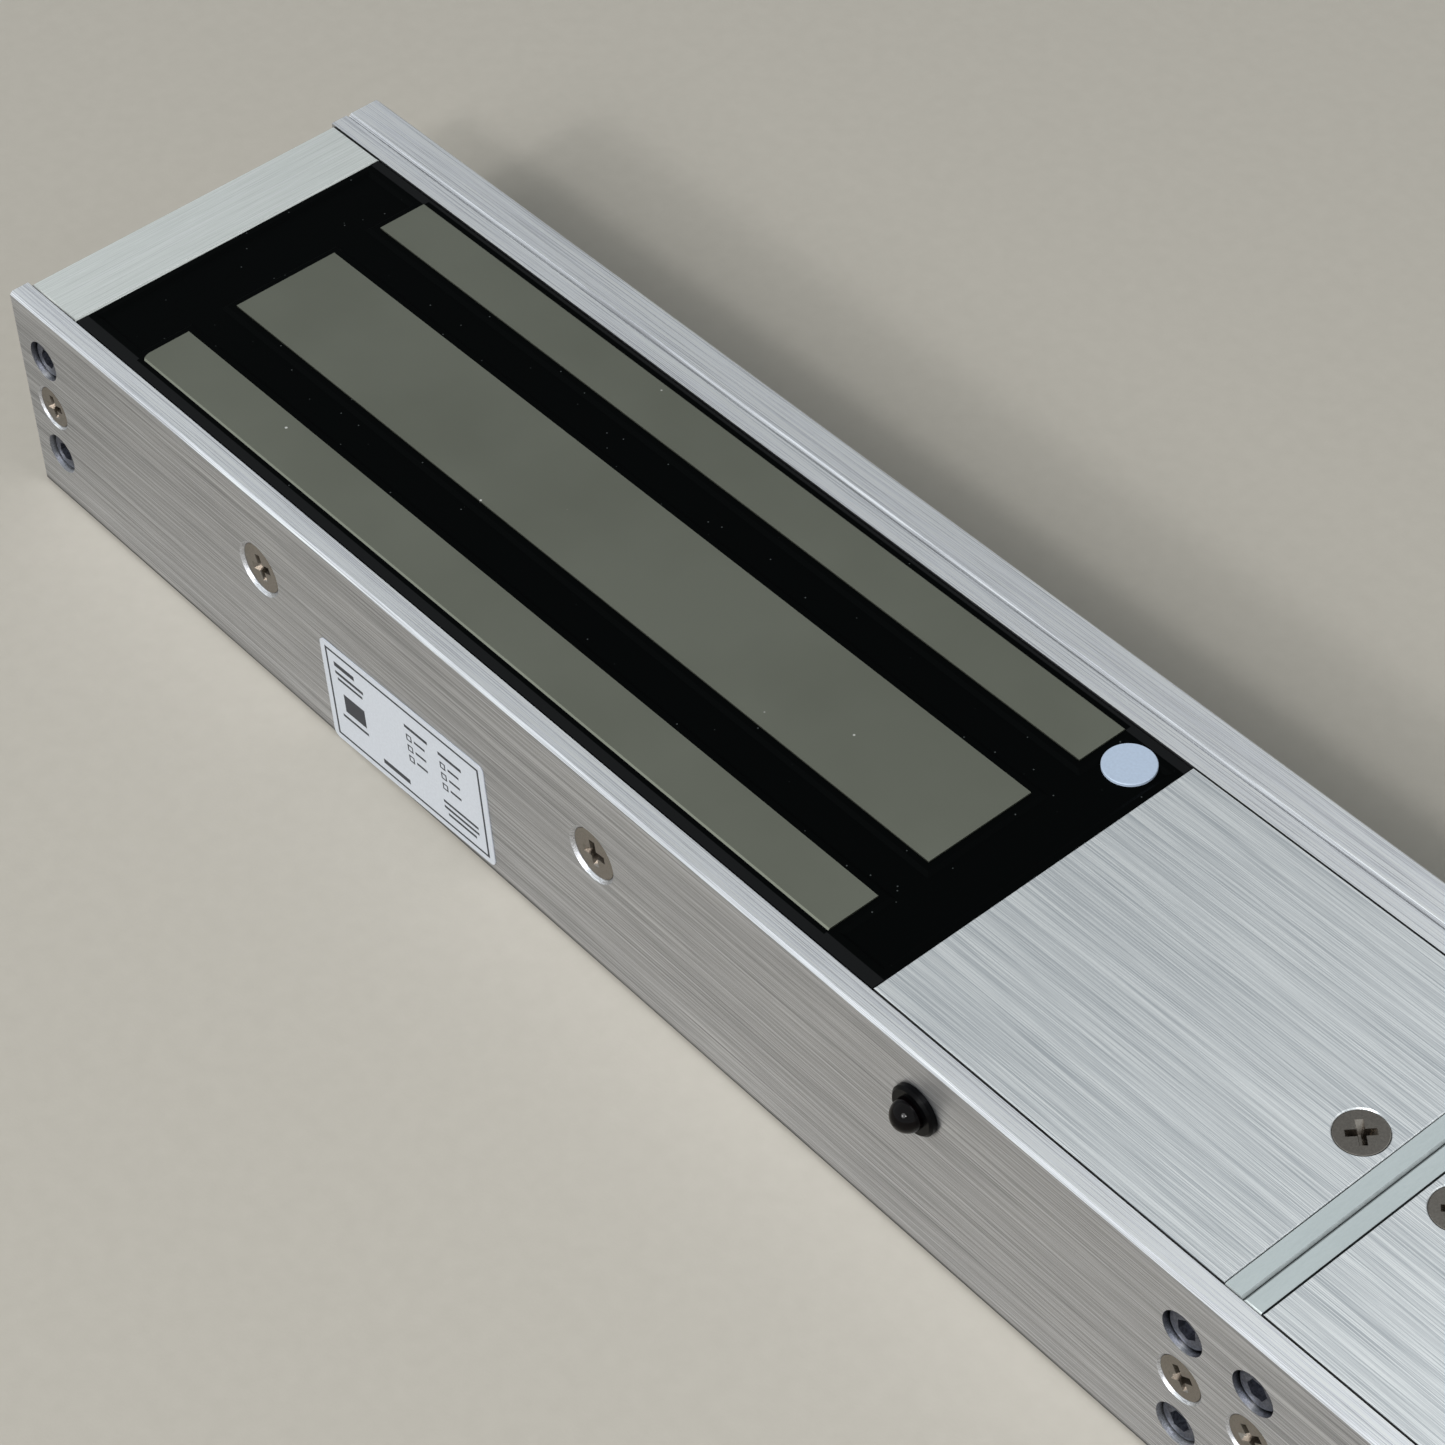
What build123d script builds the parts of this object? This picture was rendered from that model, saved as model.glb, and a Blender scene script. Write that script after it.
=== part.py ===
from build123d import *

import os

# A double electromagnetic door lock, lying on its back with the magnet faces up.
# X runs along the lock, Z points out of the magnet faces, and Y points at the door frame that carries it.
# The origin is in the middle of the lock, on the surface that it lies on. Sizes are in millimetres.
# The left half is modelled, and the pieces of the right half are its mirror images.

# Magnet cores: three poles on a yoke
core_length = 160.0
centre_pole_width = 19.1
outer_pole_width = 9.75
window_width = 9.2
window_depth = 25.25
yoke_height = 9.75
pole_edge_break = 1.0
pole_corner_radius = 2.5

# Room round the cores
core_inner_space = 11.5
core_outer_space = 14.3
core_near_space = 2.05
core_far_space = 0.95
compartment_length = 55.75

# Housing
wall = 3.5
back = 3.5
edge_break = 0.5
sliding_gap = 0.1

# Mounting plate on the frame side
plate_thickness = 6.2

# Blocks between the walls
end_inset = 0.7
end_block_length = 12.3
centre_block_length = 12.1
centre_joint_gap = 0.05
block_edge_break = 0.35

# Socket-head bolts that hang the lock on its mounting plate
bolt_rise = 9.8
bolt_radius = 2.0
bolt_head_radius = 3.35
bolt_head_height = 4.0
bolt_head_hole_radius = 3.5
bolt_head_recess = 0.8
bolt_bore_radius = 2.25
bolt_end_inset = 0.2
hex_socket_width = 3.0
hex_socket_depth = 2.0
thread_gap = 0.05

# Countersunk screws
countersink_angle = 90
small_screw_radius = 2.0
small_head_radius = 3.65
small_head_hole_radius = 4.0
block_screw_length = 10.0
cover_screw_length = 6.0
magnet_screw_radius = 2.5
magnet_head_radius = 4.4
magnet_head_hole_radius = 4.9
magnet_screw_length = 12.0
magnet_screw_height = 23.8
magnet_screw_spacing = 79.9
magnet_screw_shift = 3.65
head_seat_gap = 0.05
recess_arm_width = 0.9
recess_arm_reach = 0.6
recess_depth = 1.3
recess_taper = 12
screw_tip_gap = 1.0

# Coils
bobbin_wall = 1.0
bobbin_gap = 0.15
bobbin_flange_gap = 0.25
winding_flange_inset = 1.0
coil_corner_cut = 0.6
coil_top_below_face = 7.0

# Potting tray and potting compound
tray_side_gap = 0.35
tray_near_wall = 2.1
tray_far_wall = 1.5
tray_end_wall = 2.0
tray_floor = 1.2
tray_side_below_face = 0.2
tray_end_below_face = 2.0
potting_below_face = 0.25
meniscus_depth = 0.4
meniscus_width = 1.1
meniscus_slope = 60
latch_slot_roof = 0.9
latch_slot_gap = 0.2
latch_slot_depth = 5.0
latch_pocket_wall = 1.5

# Covers over the wiring compartments
cover_thickness = 2.0
cover_side_gap = 0.3
cover_shift = 0.15
cover_end_gap = 0.15
cover_rebate_from_middle = 3.1
cover_screw_from_middle = 8.2
cover_edge_break = 0.2
latch_width = 30.0
latch_thickness = 1.5
latch_end_gap = 0.6

# Bond sensor
sensor_from_magnet_end = 6.4
sensor_radius = 4.0
sensor_side_gap = 0.15
sensor_below_face = 0.15
sensor_height = 8.85
sensor_stem_radius = 3.0
sensor_stem_height = 8.0
sensor_edge_break = 0.1

# Indicator lamp and its bezel
lamp_from_block = 42.85
lamp_height = 29.5
lamp_radius = 2.5
lamp_tip_reach = 4.2
lamp_rim_radius = 2.9
lamp_rim_thickness = 1.0
lamp_gap = 0.05
lamp_leg_length = 4.0
lamp_leg_spacing = 2.54
lamp_leg_width = 0.5
bezel_radius = 4.0
bezel_flange = 1.2
bezel_edge_break = 0.4
bezel_sleeve_radius = 3.3
bezel_sleeve_length = 5.6

# Label
label_from_core_centre = 8.3
label_height = 11.2
label_size = (40.0, 20.5)
label_corner_radius = 1.2
label_tilt = 2.3
label_thickness = 0.15

# Circuit board in the wiring compartment, held at two edges by grooved rails
board_block_gap = 3.0
board_magnet_gap = 6.75
board_side_gap = 5.0
board_thickness = 1.6
board_height = 6.0
rail_wall = 1.5
rail_lip_reach = 1.5
rail_lip_thickness = 1.2

# Pieces on the board, placed by their distance from its edges
terminal_count = 6
terminal_pitch = 5.0
terminal_depth = 8.5
terminal_height = 10.0
terminal_shoulder = 1.7
terminal_entry_size = (3.2, 3.6)
terminal_entry_rise = 3.6
terminal_entry_depth = 5.0
terminal_release_size = (2.4, 2.0)
terminal_release_depth = 4.0
terminal_edge_inset = 2.0

relay_size = (19.0, 15.5, 15.0)
relay_inset = (7.5, 5.25)
relay_edge_break = 0.6

suppressor_radius = 5.0
suppressor_thickness = 3.6
suppressor_edge_break = 0.8
suppressor_stand_off = 4.0
suppressor_leg_width = 0.7
suppressor_leg_spacing = 5.0
suppressor_inset = 6.0

jumper_pitch = 2.54
jumper_pin_count = 3
jumper_base_height = 2.5
jumper_pin_height = 6.0
jumper_pin_width = 0.64
jumper_inset = 20.0
middle_row_inset = 20.0

header_size = (7.0, 5.0)
header_height = 4.5
header_inset = 2.0
header_gap = 1.0
lamp_header_from_centre = 12.5
lead_width = 4.0
lead_thickness = 1.4
lead_bend = 4.0
lead_exit_above_yoke = 10.0

# Cable entry through the far wall
cable_entry_from_block = 17.85
cable_entry_height = 24.0
grommet_bore_radius = 3.5
grommet_neck_radius = 5.0
grommet_flange_radius = 6.6
grommet_flange_thickness = 1.2
plate_cable_hole_radius = 8.0

# Fixing holes of the mounting plate
frame_screw_radius = 2.75
frame_screw_head_radius = 5.4
frame_screw_from_end = 46.7
frame_screw_from_edge = 9.85
slot_from_middle = 150.0
slot_length = 16.0
slot_rebate_radius = 5.0
slot_rebate_depth = 3.0

# Places along the lock, counted from its middle
centre_block_outer = centre_joint_gap + centre_block_length
magnet_inner_end = centre_block_outer + compartment_length
core_inner_end = magnet_inner_end + core_inner_space
core_outer_end = core_inner_end + core_length
end_block_inner = core_outer_end + core_outer_space
half_length = end_block_inner + end_block_length + end_inset
lock_length = 2 * half_length
core_centre = (core_inner_end + core_outer_end) / 2
label_from_middle = core_centre + label_from_core_centre
end_block_middle = end_block_inner + end_block_length / 2
centre_block_middle = centre_joint_gap + centre_block_length / 2
lamp_from_middle = centre_block_outer + lamp_from_block
cable_entry_from_middle = centre_block_outer + cable_entry_from_block

# Places across the lock
core_width = centre_pole_width + 2 * (window_width + outer_pole_width)
channel_width = core_near_space + core_width + core_far_space
housing_width = channel_width + 2 * wall
near_face = -(housing_width + plate_thickness) / 2
near_wall_inside = near_face + wall
far_wall_inside = near_wall_inside + channel_width
far_wall_outside = far_wall_inside + wall
channel_middle = near_wall_inside + channel_width / 2
core_near_face = near_wall_inside + core_near_space
core_middle = core_near_face + core_width / 2

# Heights above the surface that the lock lies on
core_bottom = back + tray_floor
yoke_top = core_bottom + yoke_height
housing_depth = yoke_top + window_depth
mid_height = housing_depth / 2

near_plane = Plane(origin=(0, near_face, 0), x_dir=(1, 0, 0), z_dir=(0, -1, 0))
near_inside_plane = near_plane.offset(-wall)
far_inside_plane = near_plane.offset(near_face - far_wall_inside)
plate_inner_plane = near_plane.offset(near_face - far_wall_outside)
face_plane = Plane.XY.offset(housing_depth)

# Points that several pieces share, as distances along the lock and heights
block_points = [
    (x, mid_height)
    for x in (-end_block_middle, -centre_block_middle, centre_block_middle, end_block_middle)
]
bolt_points = [(x, height + rise) for x, height in block_points for rise in (-bolt_rise, bolt_rise)]
magnet_screw_middle = core_centre + magnet_screw_shift
magnet_screw_points = [
    (side * (magnet_screw_middle + end * magnet_screw_spacing / 2), magnet_screw_height)
    for side in (-1, 1)
    for end in (-1, 1)
]
cover_screw_points = [(side * cover_screw_from_middle, channel_middle) for side in (-1, 1)]
lamp_points = [(side * lamp_from_middle, lamp_height) for side in (-1, 1)]
cable_points = [(side * cable_entry_from_middle, cable_entry_height) for side in (-1, 1)]


def countersunk_screw(radius, head_radius, length):
    """A cross-recessed countersunk screw, pointing down from the top of its head at the origin."""
    with BuildPart() as screw:
        with BuildSketch(Plane.XZ):
            with BuildLine():
                Polyline(
                    (0, 0),
                    (head_radius, 0),
                    (radius, radius - head_radius),
                    (radius, -length),
                    (0, -length),
                    close=True,
                )
            make_face()
        revolve(axis=Axis.Z)
        with BuildSketch():
            arm_length = 2 * recess_arm_reach * head_radius
            Rectangle(arm_length, recess_arm_width)
            Rectangle(recess_arm_width, arm_length)
        extrude(amount=-recess_depth, taper=recess_taper, mode=Mode.SUBTRACT)
    return screw.part


def screw_group(plane, points, radius, head_radius, head_hole_radius, length):
    """Like screws at points on a plane, each head seated on the cone of its countersunk hole."""
    sink = head_hole_radius - head_radius - head_seat_gap
    screw = countersunk_screw(radius, head_radius, length)
    with BuildPart() as group:
        with Locations(plane.offset(-sink)):
            with Locations(*points):
                add(screw)
    return group


def flat_lead(points, width_direction):
    """A flat two-core lead along straight runs joined by tangent arcs."""
    with BuildPart() as lead:
        with BuildLine() as route:
            FilletPolyline(*points, radius=lead_bend)
        with BuildSketch(Plane(route.line @ 0, x_dir=width_direction, z_dir=route.line % 0)):
            Rectangle(lead_width, lead_thickness)
        sweep()
    return lead


# Housing channel: an extrusion with both walls and the back in one piece
with BuildPart() as housing_channel:
    with BuildSketch(Plane.YZ.offset(-half_length)) as channel_section:
        with Locations((near_face, 0)):
            Rectangle(housing_width, housing_depth, align=(Align.MIN, Align.MIN))
        chamfer(channel_section.vertices(), length=edge_break)
        with Locations((near_wall_inside, back)):
            Rectangle(
                channel_width, housing_depth, align=(Align.MIN, Align.MIN), mode=Mode.SUBTRACT
            )
    extrude(amount=lock_length)
    with Locations(near_plane):
        with Locations(*block_points):
            CounterSinkHole(
                small_screw_radius + sliding_gap, small_head_hole_radius, wall, countersink_angle
            )
        with Locations(*magnet_screw_points):
            CounterSinkHole(
                magnet_screw_radius + sliding_gap, magnet_head_hole_radius, wall, countersink_angle
            )
        with Locations(*bolt_points):
            Hole(bolt_head_hole_radius, depth=wall)
        with Locations(*lamp_points):
            Hole(bezel_sleeve_radius + thread_gap, depth=wall)
    with Locations(far_inside_plane):
        with Locations(*bolt_points):
            Hole(bolt_bore_radius, depth=wall)
        with Locations(*cable_points):
            Hole(grommet_neck_radius + thread_gap, depth=wall)

# Mounting plate: threaded for the long bolts, countersunk and slotted for the frame's screws
frame_screw_spacing = (
    lock_length - 2 * frame_screw_from_end,
    housing_depth - 2 * frame_screw_from_edge,
)

with BuildPart() as mounting_plate:
    with BuildSketch(Plane.YZ.offset(-half_length)) as plate_section:
        with Locations((far_wall_outside, 0)):
            Rectangle(plate_thickness, housing_depth, align=(Align.MIN, Align.MIN))
        chamfer(plate_section.vertices(), length=edge_break)
    extrude(amount=lock_length)
    with Locations(plate_inner_plane):
        with Locations(*bolt_points):
            Hole(bolt_radius + thread_gap, depth=plate_thickness)
        with Locations(*cable_points):
            Hole(plate_cable_hole_radius, depth=plate_thickness)
        with Locations((0, mid_height)):
            with GridLocations(*frame_screw_spacing, 2, 2):
                CounterSinkHole(
                    frame_screw_radius, frame_screw_head_radius, plate_thickness, countersink_angle
                )
    for slot_radius, depth in (
        (frame_screw_radius, plate_thickness),
        (slot_rebate_radius, slot_rebate_depth),
    ):
        with BuildSketch(plate_inner_plane):
            with Locations((0, mid_height)):
                with GridLocations(2 * slot_from_middle, 1, 2, 1):
                    SlotCenterToCenter(slot_length - 2 * frame_screw_radius, 2 * slot_radius)
        extrude(amount=-depth, mode=Mode.SUBTRACT)

# Blocks: each carries two bolts and one screw between the channel's walls
block_width = channel_width - 2 * sliding_gap
block_near_plane = near_inside_plane.offset(-sliding_gap)
counterbore_depth = bolt_head_recess + bolt_head_height - wall - sliding_gap
block_thread_depth = block_screw_length + screw_tip_gap - wall - sliding_gap


def block(middle, length):
    """A block between the walls, with its bolt bores and its side screw's thread."""
    with BuildPart() as body:
        with BuildSketch(Plane.XY.offset(back)):
            with Locations((-middle, channel_middle)):
                Rectangle(length, block_width)
        extrude(amount=housing_depth - back)
        chamfer(body.faces().sort_by(Axis.Z)[-1].edges(), length=block_edge_break)
        with Locations(block_near_plane):
            with Locations((-middle, mid_height - bolt_rise), (-middle, mid_height + bolt_rise)):
                CounterBoreHole(bolt_bore_radius, bolt_head_hole_radius, counterbore_depth)
            with Locations((-middle, mid_height)):
                Hole(small_screw_radius + thread_gap, depth=block_thread_depth)
    return body


end_block = block(end_block_middle, end_block_length)

# Centre block: the same block with a rebate that the cover's end lies in, threaded for its screw
cover_bottom_plane = face_plane.offset(-cover_thickness)

plain_block = block(centre_block_middle, centre_block_length)

with BuildPart() as centre_block:
    add(plain_block.part)
    with BuildSketch(face_plane):
        with Locations((-cover_rebate_from_middle, channel_middle)):
            Rectangle(centre_block_length, channel_width, align=(Align.MAX, Align.CENTER))
    extrude(amount=-cover_thickness, mode=Mode.SUBTRACT)
    with Locations(cover_bottom_plane):
        with Locations(cover_screw_points[0]):
            Hole(
                small_screw_radius + thread_gap,
                depth=cover_screw_length + screw_tip_gap - cover_thickness,
            )

# Magnet core: a stack of E-shaped steel sheets with three poles, threaded for the side screws
magnet_thread_depth = magnet_screw_length + screw_tip_gap
window_spacing = centre_pole_width + window_width

with BuildPart() as magnet_core:
    with BuildSketch(Plane.YZ.offset(-core_outer_end)) as core_section:
        with Locations((core_middle, core_bottom)):
            Rectangle(core_width, yoke_height + window_depth, align=(Align.CENTER, Align.MIN))
        chamfer(core_section.vertices().group_by(Axis.Y)[-1], length=pole_edge_break)
        with Locations((core_middle, yoke_top)):
            with GridLocations(window_spacing, 1, 2, 1):
                Rectangle(
                    window_width,
                    window_depth,
                    align=(Align.CENTER, Align.MIN),
                    mode=Mode.SUBTRACT,
                )
    extrude(amount=core_length)
    fillet(
        magnet_core.edges().filter_by(Axis.Z).group_by(Axis.Y)[0].sort_by(Axis.X)[0],
        radius=pole_corner_radius,
    )
    with Locations(near_plane):
        with Locations(*magnet_screw_points[:2]):
            Hole(magnet_screw_radius + thread_gap, depth=magnet_thread_depth)

# Coil bobbin: a moulded sleeve with a flange at each end, round the middle pole
bobbin_bottom = yoke_top + bobbin_gap
bobbin_top = housing_depth - coil_top_below_face
bobbin_height = bobbin_top - bobbin_bottom
bobbin_hole = (core_length + 2 * bobbin_gap, centre_pole_width + 2 * bobbin_gap)
flange_reach = window_width - bobbin_gap - bobbin_flange_gap
winding_reach = flange_reach - winding_flange_inset


def coil_outline(reach):
    """An outline with cut corners that stays at a distance from the middle pole."""
    with BuildSketch() as outline:
        with Locations((-core_centre, core_middle)):
            Rectangle(bobbin_hole[0] + 2 * reach, bobbin_hole[1] + 2 * reach)
        chamfer(outline.vertices(), length=coil_corner_cut * reach)
    return outline.sketch


sleeve_outline = coil_outline(bobbin_wall)
flange_outline = coil_outline(flange_reach)
winding_outline = coil_outline(winding_reach)

with BuildPart() as coil_bobbin:
    for height, thickness, outline in (
        (bobbin_bottom, bobbin_wall, flange_outline),
        (bobbin_bottom, bobbin_height, sleeve_outline),
        (bobbin_top - bobbin_wall, bobbin_wall, flange_outline),
    ):
        with BuildSketch(Plane.XY.offset(height)):
            add(outline)
        extrude(amount=thickness)
    with BuildSketch(Plane.XY.offset(bobbin_bottom)):
        with Locations((-core_centre, core_middle)):
            Rectangle(*bobbin_hole)
    extrude(amount=bobbin_height, mode=Mode.SUBTRACT)

# Coil winding: enamelled wire wound between the flanges
with BuildPart() as coil_winding:
    with BuildSketch(Plane.XY.offset(bobbin_bottom + bobbin_wall)):
        add(winding_outline)
        add(sleeve_outline, mode=Mode.SUBTRACT)
    extrude(amount=bobbin_height - 2 * bobbin_wall)

# Potting tray: a moulded trough that lines the channel and holds the core and its coil
tray_length = end_block_inner - magnet_inner_end
tray_middle = -(end_block_inner + magnet_inner_end) / 2
trough_length = tray_length - 2 * tray_end_wall
trough_near_side = near_wall_inside + tray_side_gap + tray_near_wall
trough_far_side = far_wall_inside - tray_side_gap - tray_far_wall
trough_width = trough_far_side - trough_near_side
trough_middle = (trough_near_side + trough_far_side) / 2
tray_side_top = housing_depth - tray_side_below_face
tray_end_top = housing_depth - tray_end_below_face
core_seat = (core_length + 2 * sliding_gap, core_width + 2 * sliding_gap)

# The pocket in the tray's inner end that the cover's latch slides into
latch_slot_top = tray_end_top - latch_slot_roof
latch_slot_height = latch_thickness + 2 * latch_slot_gap
latch_slot_width = latch_width + 2 * latch_slot_gap
latch_pocket = (
    latch_slot_depth + latch_pocket_wall,
    latch_slot_width + 2 * latch_pocket_wall,
    latch_slot_roof + latch_slot_height + latch_pocket_wall,
)

# Board outline, with its edges clear of the block, the tray and the walls
board_length = compartment_length - board_block_gap - board_magnet_gap
board_width = channel_width - 2 * board_side_gap
board_block_edge = -centre_block_outer - board_block_gap
board_magnet_edge = board_block_edge - board_length
board_near_edge = channel_middle - board_width / 2
board_far_edge = channel_middle + board_width / 2
board_middle = ((board_block_edge + board_magnet_edge) / 2, channel_middle)

# Lead places, shared by the tray's slots, the leads and their headers on the board
lead_exit_height = yoke_top + lead_exit_above_yoke
coil_header_y = channel_middle
terminal_inner_edge = board_far_edge - terminal_edge_inset - terminal_depth
sensor_header_y = terminal_inner_edge - header_gap - header_size[0] / 2
lamp_header_y = channel_middle - lamp_header_from_centre
lead_slot_points = [(header_y, lead_exit_height) for header_y in (coil_header_y, sensor_header_y)]

with BuildPart() as potting_tray:
    with BuildSketch(Plane.XY.offset(back)):
        with Locations((tray_middle, channel_middle)):
            Rectangle(tray_length, channel_width - 2 * tray_side_gap)
    extrude(amount=tray_side_top - back)
    with BuildSketch(Plane.XY.offset(core_bottom)):
        with Locations((tray_middle, trough_middle)):
            Rectangle(trough_length, trough_width)
        with Locations((-core_centre, core_middle)):
            Rectangle(*core_seat)
    extrude(amount=housing_depth, mode=Mode.SUBTRACT)
    with BuildSketch(Plane.XY.offset(tray_end_top)):
        with Locations((tray_middle, trough_middle)):
            Rectangle(tray_length, trough_width)
    extrude(amount=housing_depth, mode=Mode.SUBTRACT)
    with BuildSketch(Plane.XY.offset(tray_end_top)):
        with Locations((-magnet_inner_end, channel_middle)):
            Rectangle(latch_pocket[0], latch_pocket[1], align=(Align.MAX, Align.CENTER))
    extrude(amount=-latch_pocket[2])
    with BuildSketch(Plane.XY.offset(latch_slot_top)):
        with Locations((-magnet_inner_end, channel_middle)):
            Rectangle(latch_slot_depth, latch_slot_width, align=(Align.MAX, Align.CENTER))
    extrude(amount=-latch_slot_height, mode=Mode.SUBTRACT)
    with BuildSketch(Plane.YZ.offset(-magnet_inner_end)):
        with Locations(*lead_slot_points):
            Rectangle(lead_width + 2 * thread_gap, lead_thickness + 2 * thread_gap)
    extrude(amount=-tray_end_wall, mode=Mode.SUBTRACT)
    with Locations(near_plane):
        with Locations(*magnet_screw_points[:2]):
            Hole(magnet_screw_radius + thread_gap, depth=wall + core_near_space)

# Bond sensor: a round capsule with its white cap just below the poles
sensor_place = (
    -magnet_inner_end - sensor_from_magnet_end,
    trough_far_side - sensor_side_gap - sensor_radius,
)

sensor_top = housing_depth - sensor_below_face

with BuildPart() as bond_sensor:
    for top, radius, height in (
        (sensor_top, sensor_radius, sensor_height),
        (sensor_top - sensor_height, sensor_stem_radius, sensor_stem_height),
    ):
        with BuildSketch(Plane.XY.offset(top)):
            with Locations(sensor_place):
                Circle(radius)
        extrude(amount=-height)
    chamfer(bond_sensor.faces().sort_by(Axis.Z)[-1].edges(), length=sensor_edge_break)

# Circuit board
board_bottom = back + board_height
board_top = board_bottom + board_thickness
board_top_plane = Plane.XY.offset(board_top)

with BuildPart() as circuit_board:
    with BuildSketch(Plane.XY.offset(board_bottom)):
        with Locations(board_middle):
            Rectangle(board_length, board_width)
    extrude(amount=board_thickness)

# Board rails: two moulded strips on the channel's back, each with a groove that takes a board edge
rail_outer_width = board_width + 2 * (sliding_gap + rail_wall)
rail_inner_width = board_width - 2 * rail_lip_reach
groove_height = board_thickness + 2 * sliding_gap
rail_height = board_height - sliding_gap + groove_height + rail_lip_thickness

with BuildPart() as board_rails:
    with BuildSketch(Plane.YZ.offset(board_magnet_edge)):
        with Locations((channel_middle, back)):
            Rectangle(rail_outer_width, rail_height, align=(Align.CENTER, Align.MIN))
            Rectangle(
                rail_inner_width,
                rail_height,
                align=(Align.CENTER, Align.MIN),
                mode=Mode.SUBTRACT,
            )
        with Locations((channel_middle, board_bottom - sliding_gap)):
            Rectangle(
                board_width + 2 * sliding_gap,
                groove_height,
                align=(Align.CENTER, Align.MIN),
                mode=Mode.SUBTRACT,
            )
    extrude(amount=board_length)

# Terminal block along the board's frame-side edge: wire entries in front, spring releases on top
terminal_middle = (board_middle[0], terminal_inner_edge + terminal_depth / 2)
terminal_front = Plane(
    origin=(board_middle[0], board_far_edge - terminal_edge_inset, board_top + terminal_entry_rise),
    x_dir=(-1, 0, 0),
    z_dir=(0, 1, 0),
)
terminal_grid = (terminal_pitch, 1, terminal_count, 1)

with BuildPart() as terminal_block:
    with BuildSketch(board_top_plane):
        with Locations(terminal_middle):
            Rectangle(terminal_count * terminal_pitch, terminal_depth)
    extrude(amount=terminal_height)
    chamfer(
        terminal_block.faces().sort_by(Axis.Z)[-1].edges().filter_by(Axis.X),
        length=terminal_shoulder,
    )
    with BuildSketch(terminal_front):
        with GridLocations(*terminal_grid):
            Rectangle(*terminal_entry_size)
    extrude(amount=-terminal_entry_depth, mode=Mode.SUBTRACT)
    with BuildSketch(board_top_plane.offset(terminal_height)):
        with Locations(terminal_middle):
            with GridLocations(*terminal_grid):
                Rectangle(*terminal_release_size)
    extrude(amount=-terminal_release_depth, mode=Mode.SUBTRACT)

# Relay that reports the bond
relay_middle = (
    board_block_edge - relay_inset[0] - relay_size[0] / 2,
    board_near_edge + relay_inset[1] + relay_size[1] / 2,
)

with BuildPart() as relay:
    with BuildSketch(board_top_plane):
        with Locations(relay_middle):
            Rectangle(relay_size[0], relay_size[1])
    extrude(amount=relay_size[2])
    chamfer(relay.faces().sort_by(Axis.Z)[-1].edges(), length=relay_edge_break)

# Surge suppressor: a coated disc standing on two wire legs
middle_row_y = board_far_edge - middle_row_inset
suppressor_x = board_block_edge - suppressor_inset - suppressor_radius
suppressor_plane = Plane(
    origin=(
        suppressor_x,
        middle_row_y - suppressor_thickness / 2,
        board_top + suppressor_stand_off + suppressor_radius,
    ),
    x_dir=(1, 0, 0),
    z_dir=(0, -1, 0),
)

with BuildPart() as surge_suppressor:
    with BuildSketch(suppressor_plane):
        Circle(suppressor_radius)
    extrude(amount=-suppressor_thickness)
    chamfer(surge_suppressor.edges().filter_by(GeomType.CIRCLE), length=suppressor_edge_break)
    with BuildSketch(board_top_plane):
        with Locations((suppressor_x, middle_row_y)):
            with GridLocations(suppressor_leg_spacing, 1, 2, 1):
                Rectangle(suppressor_leg_width, suppressor_leg_width)
    extrude(amount=suppressor_stand_off + suppressor_radius)

# Voltage jumper: a moulded strip with three pins
jumper_middle = (board_block_edge - jumper_inset, middle_row_y)

with BuildPart() as voltage_jumper:
    with BuildSketch(board_top_plane):
        with Locations(jumper_middle):
            Rectangle(jumper_pin_count * jumper_pitch, jumper_pitch)
    extrude(amount=jumper_base_height)
    with BuildSketch(board_top_plane.offset(jumper_base_height)):
        with Locations(jumper_middle):
            with GridLocations(jumper_pitch, 1, jumper_pin_count, 1):
                Rectangle(jumper_pin_width, jumper_pin_width)
    extrude(amount=jumper_pin_height)

# Headers on the board, where the leads of the coil, the sensor and the lamp end
header_x = board_magnet_edge + header_inset + header_size[1] / 2
header_top = board_top + header_height

with BuildPart() as lead_headers:
    with BuildSketch(board_top_plane):
        with Locations((header_x, coil_header_y), (header_x, sensor_header_y)):
            Rectangle(header_size[1], header_size[0])
        with Locations((-lamp_from_middle, lamp_header_y)):
            Rectangle(*header_size)
    extrude(amount=header_height)


def magnet_lead_route(header_y):
    """From the tray's inner end wall along the lock, then down into a header."""
    return [
        (-magnet_inner_end - tray_end_wall, header_y, lead_exit_height),
        (header_x, header_y, lead_exit_height),
        (header_x, header_y, header_top),
    ]


coil_leads = flat_lead(magnet_lead_route(coil_header_y), width_direction=(0, 1, 0))
sensor_leads = flat_lead(magnet_lead_route(sensor_header_y), width_direction=(0, 1, 0))

# The lamp's lead runs from its legs across the lock, then down into its header
lamp_leg_end = near_face + bezel_sleeve_length + lamp_leg_length

lamp_leads = flat_lead(
    [
        (-lamp_from_middle, lamp_leg_end, lamp_height),
        (-lamp_from_middle, lamp_header_y, lamp_height),
        (-lamp_from_middle, lamp_header_y, header_top),
    ],
    width_direction=(1, 0, 0),
)

# Potting compound: fills the trough round the core, the coil and the sensor to just below the poles.
# It climbs a little where it wets the steel and the tray, and lies lower in between.
potting_top = housing_depth - potting_below_face
pole_places = (
    (core_near_face + outer_pole_width / 2, outer_pole_width),
    (core_middle, centre_pole_width),
    (core_near_face + core_width - outer_pole_width / 2, outer_pole_width),
)

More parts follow.
